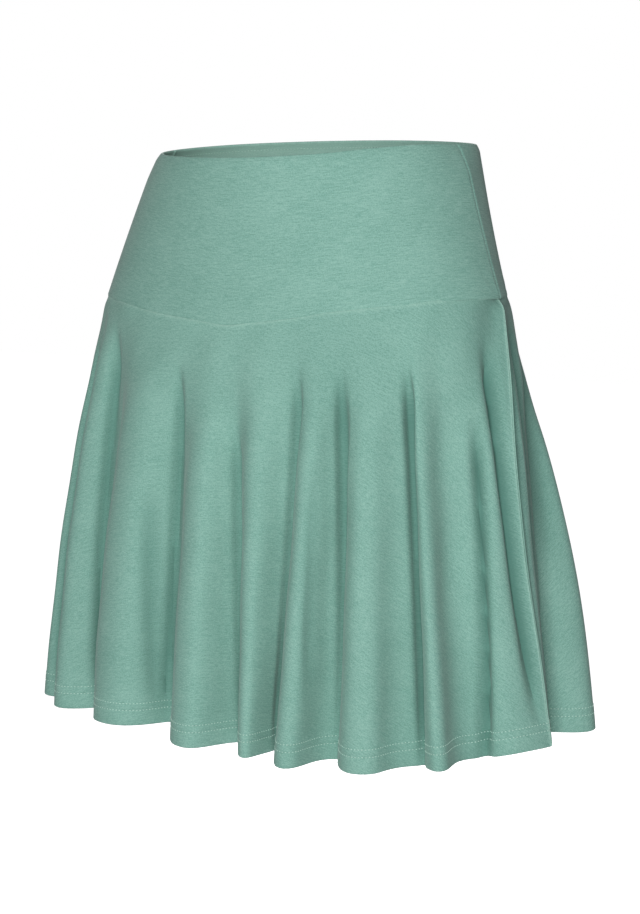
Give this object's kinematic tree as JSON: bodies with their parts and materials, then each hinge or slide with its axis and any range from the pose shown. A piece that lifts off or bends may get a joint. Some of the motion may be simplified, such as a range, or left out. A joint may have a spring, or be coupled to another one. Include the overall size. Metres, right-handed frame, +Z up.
{
  "type": "skort",
  "caption": "Hollow skort as worn, with a wide contoured waistband, a flared half-circle skirt in soft folds and plain shorts under it.",
  "frame": {"origin": "centre of the waist opening, where the wearer's waist holds the garment up", "axes": "+Z up through the waist, front towards -Y, the wearer's left towards +X"},
  "size_m": [0.4394, 0.3048, 0.4394],
  "materials": {
    "waistband_front": "soft heathered jersey, folded double",
    "waistband_back": "soft heathered jersey, folded double",
    "skirt_front": "soft heathered jersey",
    "skirt_back": "soft heathered jersey",
    "shorts_left": "soft heathered jersey",
    "shorts_right": "soft heathered jersey"
  },
  "bodies": {
    "root": {"waistband_front": "waistband_front", "waistband_back": "waistband_back", "skirt_front": "skirt_front", "skirt_back": "skirt_back", "shorts_left": "shorts_left", "shorts_right": "shorts_right"}
  },
  "joints": []
}
